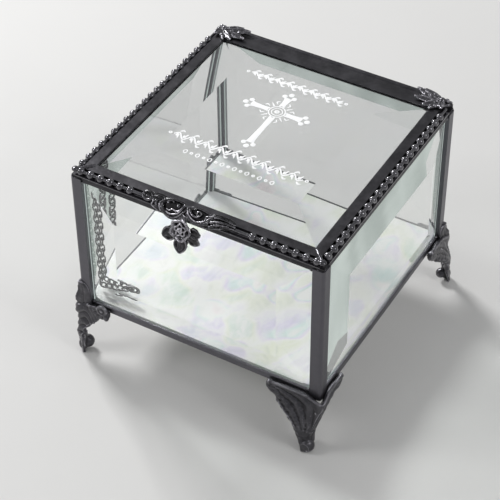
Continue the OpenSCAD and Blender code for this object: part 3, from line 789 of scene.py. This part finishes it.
def filigree():
    """The lift's casting, drawn flat on XY: two scrolls, a button and a leaf tail on a thin ground."""
    button = [
        (-17.0 + 2.1 * math.cos(k * math.pi / 4), 2.6 + 2.1 * math.sin(k * math.pi / 4)) for k in range(9)
    ]
    strands = [
        # Left scroll: its band, its top, the wavy lips inside it and its inner curl
        ([(-9.6, 3.9), (-10.9, 1.7), (-9.8, -0.2), (-8.4, -1.5), (-6.0, -2.5), (-4.2, -2.5), (-2.1, -1.1),
          (-0.8, 1.1), (-0.2, 3.3)], 0.9, (0.5, 0.75, 0.7, 0.5)),
        ([(-9.6, 3.9), (-8.4, 4.6), (-5.6, 5.2), (-2.3, 5.0), (-1.2, 4.5)], 1.2, (0.4, 0.5, 0.45)),
        ([(-1.3, 4.5), (-1.8, 2.6), (-2.5, 1.2), (-3.4, 0.3), (-4.8, 0.6), (-5.6, 0.8), (-6.2, -0.3),
          (-7.6, 0.1)], 1.75, (0.32, 0.28, 0.24)),
        ([(-7.7, -0.8), (-6.6, -1.3), (-5.3, -1.3), (-3.3, -0.6), (-2.2, 0.4), (-1.3, 3.6)],
         1.6, (0.24, 0.36, 0.3)),
        ([(-8.1, 2.6), (-8.4, 3.4), (-7.5, 4.3), (-6.4, 4.3), (-6.0, 3.6)], 1.35, (0.4, 0.26)),
        # Bridge and right scroll
        ([(0.2, 3.6), (0.5, 2.4), (1.3, 0.9)], 1.6, (0.36, 0.3)),
        ([(0.7, 4.1), (1.5, 2.3), (2.9, 1.1), (4.7, 0.9), (5.9, 2.1), (6.1, 3.4), (5.0, 4.0), (4.1, 3.2)],
         1.3, (0.5, 0.42, 0.3)),
        ([(-1.1, 3.9), (1.0, 4.1), (2.6, 5.1), (5.4, 5.2), (8.4, 4.6), (9.6, 4.3)], 1.3, (0.4, 0.4)),
        ([(0.2, 1.0), (1.4, -0.4), (3.3, -1.3), (5.6, -1.6), (8.2, -0.7), (9.9, 1.1), (10.5, 2.9)],
         0.9, (0.45, 0.7, 0.5)),
        ([(1.3, 0.9), (3.3, -0.5), (5.6, -0.7), (7.9, 0.2), (9.4, 1.8), (9.9, 3.1)], 1.5, (0.25, 0.3, 0.25)),
        ([(8.5, 1.4), (8.1, 2.4), (8.7, 3.2), (10.0, 3.5), (11.2, 4.7)], 1.55, (0.34, 0.28)),
        # Leaf tail
        ([(10.4, 4.5), (11.8, 5.2), (14.2, 5.3), (16.6, 5.3), (19.0, 4.8), (20.2, 4.1)],
         1.0, (0.4, 0.5, 0.3)),
        ([(2.8, -1.7), (5.8, -1.9), (9.7, -1.8), (12.8, -0.6), (15.3, 0.0), (15.9, 1.1), (17.5, 1.2),
          (20.0, 1.6)], 0.7, (0.25, 0.3, 0.22)),
        ([(10.6, 1.0), (12.6, 2.2), (15.5, 2.8), (18.6, 2.9), (20.4, 2.7)], 1.1, (0.55, 0.6, 0.28)),
        ([(10.4, -0.9), (12.4, 0.4), (14.6, 1.3), (18.0, 1.9)], 0.95, (0.6, 0.5, 0.22)),
        ([(11.2, 3.6), (13.4, 4.2), (16.8, 4.2), (20.2, 3.6)], 1.25, (0.35, 0.42, 0.28)),
        # Button and the leaf between it and the left scroll
        (button, 1.0, (0.5, 0.5)),
        ([(-15.2, 4.6), (-13.5, 5.0), (-11.9, 5.0), (-9.4, 4.7)], 0.9, (0.4, 0.45)),
        ([(-15.2, 2.9), (-13.2, 3.5), (-11.5, 3.6), (-10.2, 3.2)], 0.75, (0.6, 0.8, 0.5)),
        ([(-14.6, 2.3), (-13.9, 1.0), (-14.5, -0.3), (-13.8, -0.9), (-11.9, -1.3), (-10.0, -2.2)],
         1.05, (0.3, 0.28)),
        ([(-13.2, 2.0), (-12.9, 0.4), (-12.0, -0.6), (-10.2, -1.5)], 0.65, (0.7, 0.65, 0.45)),
        ([(-10.5, 2.9), (-11.2, 1.3), (-10.9, -0.1), (-9.9, -1.4)], 1.4, (0.25, 0.34, 0.25)),
    ]
    lumps = [
        # The beads in the two scrolls and in the button
        ((-3.8, 2.7, 0.7), (0.85, 0.85, 0.85)),
        ((4.5, 2.2, 0.4), (0.9, 0.9, 0.6)),
        ((-17.0, 2.6, 0.5), (1.3, 1.3, 0.7)),
        # The thin ground behind the scrolls and the tail, which the lift's metal paints black as shade in
        # their openings, and the neck that carries the rose
        ((-5.4, 1.2, -0.1), (4.8, 3.6, 0.3)),
        ((5.2, 1.8, -0.1), (4.4, 3.2, 0.3)),
        ((14.6, 2.2, 0.3), (5.4, 2.4, 0.4)),
        ((-1.2, -1.6, 0.5), (1.8, 2.2, 0.9)),
    ]
    parts = [strand([(x, y, height) for x, y in path], radii) for path, height, radii in strands]
    parts += [lump(spot, size) for spot, size in lumps]
    return fuse("filigree_casting", parts, 0.16, 1, 0.03)


def petal_bowl(u, v):
    """The rose's five petals as one wavy bowl: u runs round it, v from its middle to its rim."""
    a = 2 * math.pi * u
    k = 0.02 + 0.98 * v
    r = (3.9 + 0.3 * math.cos(5 * a)) * k
    height = 0.2 + 1.2 * k**3 + 0.28 * math.cos(5 * a + 5 * k) * math.sin(math.pi * k)
    return (r * math.cos(a), r * math.sin(a), height)


def petal_folds(count, start, height, steps, radii):
    """Raised folds of petal spaced round the rose, each drawn by radius and turn from its start."""
    folds = []
    for k in range(count):
        a = 2 * math.pi * k / count + start
        turns = [(r, a + turn) for r, turn in steps]
        folds.append(strand([(r * math.cos(b), r * math.sin(b), height) for r, b in turns], radii))
    return folds


def rose_leaf(base, tip, width):
    """A leaf of the rose with its rolled edges and its spine."""
    parts = [leaf(base, tip, width, 0.7, 0.7)]
    base = Vector(base)
    tip = Vector(tip)
    away = tip - base
    side = Vector((-away.y, away.x, 0)).normalized() * width * 0.52
    for hand in (-1, 1):
        roll = [
            base + away * k + side * hand * w + Vector((0, 0, 0.5 + 0.5 * k))
            for k, w in ((0.15, 0.6), (0.35, 0.95), (0.6, 0.95), (0.85, 0.55), (1.0, 0.05))
        ]
        parts.append(strand(roll, (0.3, 0.42, 0.35)))
    spine = [base.lerp(tip, k) + Vector((0, 0, 0.45 + 0.6 * k * k)) for k in (0.1, 0.4, 0.7, 0.92)]
    parts.append(strand(spine, (0.4, 0.2)))
    return parts


def rose():
    """The rose with its leaves, drawn about its middle: X right, Y up, Z out of its face."""
    turn = 2 * math.pi / 40
    rim = [
        (3.95 + 0.3 * math.cos(5 * k * turn)) * Vector((math.cos(k * turn), math.sin(k * turn), 0))
        + Vector((0, 0, 1.55 + 0.35 * math.cos(5 * k * turn + 1.0)))
        for k in range(41)
    ]
    parts = [strand(rim, (0.5, 0.5)), sheet(12, 40, petal_bowl, 0.7)]
    outer = ((1.2, -0.7), (2.1, -0.35), (2.6, 0.0), (2.3, 0.4), (1.7, 0.75))
    inner = ((0.5, 0.0), (0.9, 0.6), (1.1, 1.2), (0.9, 1.9))
    parts += petal_folds(5, 0.4, 1.35, outer, (0.3, 0.45, 0.3))
    parts += petal_folds(3, 0.0, 1.7, inner, (0.4, 0.3))
    parts.append(lump((0, 0, 1.0), (0.8, 0.8, 0.9)))
    for base, tip, width in (
        ((-2.4, -2.0, -0.2), (-7.7, -4.9, -0.5), 5.2),
        ((0.2, -3.0, -0.2), (0.4, -9.8, -0.4), 5.2),
        ((3.2, 0.2, -0.2), (7.8, -0.2, -0.7), 3.6),
        ((2.6, -2.2, -0.2), (8.0, -3.6, -0.7), 3.6),
    ):
        parts += rose_leaf(base, tip, width)
    parts.append(strand([(0.2, 3.8, 0.0), (0.8, 5.8, -0.4)], (1.6, 1.4)))
    return fuse("rose_casting", parts, 0.16, 1, 0.03)


def corner_spray(name, side):
    """The spray of small leaves on a rear corner of the lid; side is -1 or 1."""
    top = CAD_BOX[1][2] * MM_PER_M - 0.15
    parts = []

    def at(x, y, up):
        return (side * x, y, min(LID_FRAME_TOP + up, top))

    for tip, width in (
        ((38.2, 54.3, 1.5), 4.2),
        ((39.0, 49.6, 0.7), 4.0),
        ((43.8, 46.6, 0.5), 3.8),
        ((47.0, 45.6, 0.4), 3.0),
        ((41.6, 54.6, 2.1), 3.4),
        ((51.6, 47.0, 0.9), 3.2),
    ):
        parts.append(leaf(at(49.6, 51.8, 0.9), at(*tip), width, 0.4, 0.6))
    for rib in (
        ((49, 51.5, 1.6), (45, 52.6, 2.0), (41, 54.2, 2.2), (38.6, 54.6, 2.0)),
        ((48.6, 50.4, 1.5), (46, 48.8, 1.6), (44.2, 47.2, 1.2)),
        ((47.6, 52.6, 2.0), (44.6, 54.2, 2.2), (43.2, 54.8, 2.2)),
        ((48.0, 50.2, 1.6), (43.4, 50.6, 1.7), (39.6, 50.0, 1.2)),
        ((51.2, 50.6, 1.4), (51.8, 48.6, 1.6), (51.4, 46.8, 1.3)),
    ):
        parts.append(strand([at(*p) for p in rib], (0.55, 0.5, 0.25)))
    for x, y, up, r in (
        (49.8, 52.2, 1.2, 1.5),
        (47.2, 49.4, 1.0, 0.9),
        (45.2, 52.2, 1.4, 0.9),
        (48.6, 47.8, 0.8, 0.8),
        (42.4, 52.0, 1.3, 0.75),
        (51.6, 53.2, 0.9, 1.0),
        (46.4, 54.2, 1.3, 0.8),
        (50.6, 49.6, 1.0, 0.7),
    ):
        parts.append(lump(at(x, y, min(up, 2.45 - r)), (r, r, r)))
    casting = fuse(name, parts, 0.2, 2, 0.05)
    for v in casting.data.vertices:
        v.co.z = min(v.co.z, CAD_BOX[1][2])
    return casting


# ---------- stage ----------


def add_floor(size, colour):
    deselect()
    bpy.ops.mesh.primitive_grid_add(x_subdivisions=1, y_subdivisions=1, size=size)
    floor = bpy.context.object
    floor.name = "floor"
    f = Finish("floor_paint")
    base = f.colour(f.noise(60, 3.0, 0.6), tuple(colour), shade(colour, 0.96))
    give(floor, f.finish(f.surface({"Base Color": base, "Roughness": 0.7})))


def add_lamp(name, spot, size, power):
    """A square lamp that faces the casket's middle."""
    bpy.ops.object.light_add(type="AREA", location=spot)
    lamp = bpy.context.object
    lamp.name = name
    lamp.data.shape = "SQUARE"
    lamp.data.size = size
    lamp.data.energy = power
    lamp.rotation_mode = "QUATERNION"
    lamp.rotation_quaternion = (Vector(spot) - LAMP_TARGET).to_track_quat("Z", "Y")


def add_world(scene):
    world = bpy.data.worlds.new("room")
    world.use_nodes = True
    background = world.node_tree.nodes["Background"]
    background.inputs["Color"].default_value = (0.86, 0.87, 0.88, 1.0)
    background.inputs["Strength"].default_value = 0.47
    scene.world = world


def add_camera(scene):
    """The camera at the photograph's viewing angle."""
    back = Vector(
        (
            math.sin(CAMERA_TURN) * math.cos(CAMERA_RISE),
            -math.cos(CAMERA_TURN) * math.cos(CAMERA_RISE),
            math.sin(CAMERA_RISE),
        )
    )
    right = Vector((math.cos(CAMERA_TURN), math.sin(CAMERA_TURN), 0.0))
    up = back.cross(right)
    across = right * math.cos(CAMERA_ROLL) - up * math.sin(CAMERA_ROLL)
    above = right * math.sin(CAMERA_ROLL) + up * math.cos(CAMERA_ROLL)
    bpy.ops.object.camera_add()
    camera = bpy.context.object
    camera.name = "camera"
    camera.data.lens = CAMERA_LENS
    camera.data.sensor_width = 36.0
    camera.data.clip_start = 0.01
    facing = Matrix((across, above, back)).transposed().to_4x4()
    camera.matrix_world = Matrix.Translation(CAMERA_TARGET + back * CAMERA_DISTANCE) @ facing
    scene.camera = camera


# ---------- settings and operators ----------


class CasketSettings(bpy.types.PropertyGroup):
    """Colours and sizes that a user would change."""

    patina: FloatVectorProperty(
        name="Patina",
        description="Colour of the dark metal",
        subtype="COLOR",
        size=3,
        default=(0.035, 0.034, 0.039),
    )
    worn: FloatVectorProperty(
        name="Worn metal",
        description="Colour of the metal where the patina is thin",
        subtype="COLOR",
        size=3,
        default=(0.16, 0.155, 0.17),
    )
    tint: FloatVectorProperty(
        name="Glass tint",
        description="Colour of the clear glass",
        subtype="COLOR",
        size=3,
        default=(0.985, 0.992, 0.986),
    )
    # The lid's grey is painted shade: it darkens what is seen through the lid, while lamp light passes the
    # lid at the same transparent colour as the panes
    lid_shade_tint: FloatVectorProperty(
        name="Lid tint",
        description="Colour of the lid's glass",
        subtype="COLOR",
        size=3,
        default=(0.79, 0.795, 0.80),
    )
    floor: FloatVectorProperty(
        name="Floor",
        description="Colour of the floor",
        subtype="COLOR",
        size=3,
        default=(0.66, 0.655, 0.645),
    )
    foot_wall: FloatProperty(
        name="Foot thickness",
        description="Thickness of the feet's cast leaves",
        subtype="DISTANCE",
        default=0.0015,
    )
    floor_size: FloatProperty(
        name="Floor size",
        description="Length of the floor's sides",
        subtype="DISTANCE",
        default=6.0,
    )
    window_power: FloatProperty(
        name="Window lamp",
        description="Power of the lamp behind the casket",
        subtype="POWER",
        default=10.5,
    )


class CASKET_OT_glass(bpy.types.Operator):
    """Gives the panes clear glass and the base its pearly sheet"""

    bl_idname = "casket.glass"
    bl_label = "Glass"

    def execute(self, context):
        settings = context.scene.casket
        for name in PANES:
            low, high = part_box(name)
            middle = (low + high) / 2 * MM_PER_M
            half = (high - low) / 2 * MM_PER_M
            thin = list(half).index(min(half))
            spans = [(i, middle[i], half[i]) for i in range(3) if i != thin]
            # The lid's glass gets the grey of painted shade, the panes their clear tint
            tint = settings.lid_shade_tint if name == "lid_glass" else settings.tint
            give(NODES[name], clear_glass(name + "_clear", tuple(tint), BEVEL_TINT, spans))
        give(NODES["base_glass"], pearl_glass("pearl_sheet"))
        return {"FINISHED"}


class CASKET_OT_metal(bpy.types.Operator):
    """Gives the frame, the beads, the hinge and the chain their metal"""

    bl_idname = "casket.metal"
    bl_label = "Metal"

    def execute(self, context):
        low = context.scene.casket.patina
        high = context.scene.casket.worn
        patina = dark_metal("patina", shade(low, 0.8), shade(high, 0.7), 0.42, 0.2)
        solder = dark_metal("grey_solder", shade(low, 3.0), tuple(high), 0.4, 0.2, lumps=2.6)
        bright = dark_metal(
            "polished_patina", shade(low, 2.2), shade(high, 1.8), 0.12, 1.0, lumps=1.4, worn=0.4
        )
        chain = dark_metal("chain_metal", *CHAIN_COLOURS, 0.3, 0.2, lumps=1.0, worn=0.3)
        for name, obj in NODES.items():
            if name.endswith("_glass"):
                continue
            if "chain" in name:
                give(obj, chain)
            elif name.endswith("bead_wire") or name == "hinge_rod":
                give(obj, bright)
            elif name.endswith("post") or name.endswith("bottom_rail"):
                give(obj, solder)
            else:
                give(obj, patina)
        return {"FINISHED"}


class CASKET_OT_solder(bpy.types.Operator):
    """Lays the solder on the frame's corners and the lid's mitres"""

    bl_idname = "casket.solder"
    bl_label = "Solder"

    def execute(self, context):
        settings = context.scene.casket
        low = shade(settings.patina, 1.8)
        high = shade(settings.worn, 1.3)
        metal = dark_metal("solder_beads", low, high, 0.25, 0.5, lumps=1.2, worn=0.4)
        hand_in(case_solder(), metal, "case", "worn_metal")
        hand_in(lid_solder(), metal, "lid", "worn_metal")
        return {"FINISHED"}


class CASKET_OT_engraving(bpy.types.Operator):
    """Engraves the lid with a cross and bands of vine, diamonds and dots"""

    bl_idname = "casket.engraving"
    bl_label = "Engraving"

    def execute(self, context):
        hand_in(engraving(), engraved_white("cut_white"), "lid", "clear_glass")
        return {"FINISHED"}


class CASKET_OT_feet(bpy.types.Operator):
    """Casts the four leaf feet"""

    bl_idname = "casket.feet"
    bl_label = "Feet"

    def execute(self, context):
        settings = context.scene.casket
        low = shade(settings.patina, 1.5)
        # The feet's metal is worn bright on its edges and given painted shade in its hollows
        metal = dark_metal(
            "cast_patina_painted_shade", low, tuple(settings.worn), 0.38, 0.3, lumps=1.4, worn=0.5, edges=True
        )
        folded_toe = (1.8, 2.8, 2.3, 2.0)
        for foot in (
            Foot("front_left_foot", (13.2, 14.2), (1.3, 2.2), 0.0, 1.0, 12.5, True, folded_toe),
            Foot("front_right_foot", (23.5, 16.5), (1.0, 1.5), -5.0, 0.4, 0.0, False, (3.1, 2.0, 3.1, 2.0)),
            Foot("rear_right_foot", (16.0, 16.0), (1.3, 1.3), 0.0, 2.6, 7.0, False, (1.6, 2.2, 3.1, 1.6)),
            Foot("rear_left_foot", (13.2, 13.2), (2.2, 1.3), 0.0, 1.0, 12.5, True, folded_toe),
        ):
            hand_in(foot.build(settings.foot_wall / MM), metal, "case", "patina_metal", foot.name)
        return {"FINISHED"}


class CASKET_OT_trim(bpy.types.Operator):
    """Casts the filigree lift, its rose and the rear corner sprays"""

    bl_idname = "casket.trim"
    bl_label = "Lift, rose and sprays"

    def execute(self, context):
        low = context.scene.casket.patina
        high = context.scene.casket.worn
        # These castings are worn bright on their edges and given painted shade in their hollows; the lift and
        # the rose are also painted black on their low ground as shade
        rubbed = {"rough": 0.27, "shine": 0.6, "lumps": 1.0, "worn": 0.85, "edges": True}
        metal = dark_metal("worn_castings_painted_shade", shade(low, 1.7), shade(high, 1.3), **rubbed)
        lift_plane = (LIFT_SPOT, LIFT_TILT, 0.0)
        rose_plane = (ROSE_SPOT, ROSE_TILT, 0.45)
        lift_metal = dark_metal("worn_lift_painted_shade", tuple(low), tuple(high), plane=lift_plane, **rubbed)
        rose_metal = dark_metal("worn_rose_painted_shade", tuple(low), tuple(high), plane=rose_plane, **rubbed)
        lift = move(filigree(), Matrix.Translation(LIFT_SPOT * MM) @ Matrix.Rotation(LIFT_TILT, 4, "X"))
        press(lift, LIFT_PRESS_START, CAD_BOX[1][2])
        hand_in(lift, lift_metal, "lid", "worn_metal", "filigree_lift")
        drop = move(rose(), Matrix.Translation(ROSE_SPOT * MM) @ Matrix.Rotation(ROSE_TILT, 4, "X"))
        hand_in(drop, rose_metal, "lid", "worn_metal", "rose_drop")
        hand_in(corner_spray("spray_left", -1), metal, "lid", "worn_metal", "rear_left_leaf")
        hand_in(corner_spray("spray_right", 1), metal, "lid", "worn_metal", "rear_right_leaf")
        return {"FINISHED"}


class CASKET_OT_stage(bpy.types.Operator):
    """Floor, lamps, world and camera"""

    bl_idname = "casket.stage"
    bl_label = "Stage"

    def execute(self, context):
        settings = context.scene.casket
        add_floor(settings.floor_size, settings.floor)
        add_lamp("window", (-0.85, 0.42, 0.8), 0.28, settings.window_power)
        add_lamp("right_lamp", (0.8, -0.05, 0.75), 0.3, 2.2)
        add_lamp("left_lamp", (-0.8, -0.5, 0.7), 0.3, 3.0)
        add_world(context.scene)
        context.scene.view_settings.view_transform = "Standard"
        add_camera(context.scene)
        return {"FINISHED"}


STEPS = (
    CASKET_OT_glass,
    CASKET_OT_metal,
    CASKET_OT_solder,
    CASKET_OT_engraving,
    CASKET_OT_feet,
    CASKET_OT_trim,
    CASKET_OT_stage,
)


class CASKET_PT_panel(bpy.types.Panel):
    """The casket's settings and steps"""

    bl_label = "Glass casket box"
    bl_idname = "CASKET_PT_panel"
    bl_space_type = "VIEW_3D"
    bl_region_type = "UI"
    bl_category = "Casket"

    def draw(self, context):
        for name in CasketSettings.__annotations__:
            self.layout.prop(context.scene.casket, name)
        for step in STEPS:
            self.layout.operator(step.bl_idname)


CLASSES = (CasketSettings, *STEPS, CASKET_PT_panel)


def register():
    for cls in CLASSES:
        bpy.utils.register_class(cls)
    bpy.types.Scene.casket = PointerProperty(type=CasketSettings)


def unregister():
    del bpy.types.Scene.casket
    for cls in reversed(CLASSES):
        bpy.utils.unregister_class(cls)


def main():
    register()
    for step in STEPS:
        group, name = step.bl_idname.split(".")
        getattr(getattr(bpy.ops, group), name)()


if __name__ == "__main__":
    main()
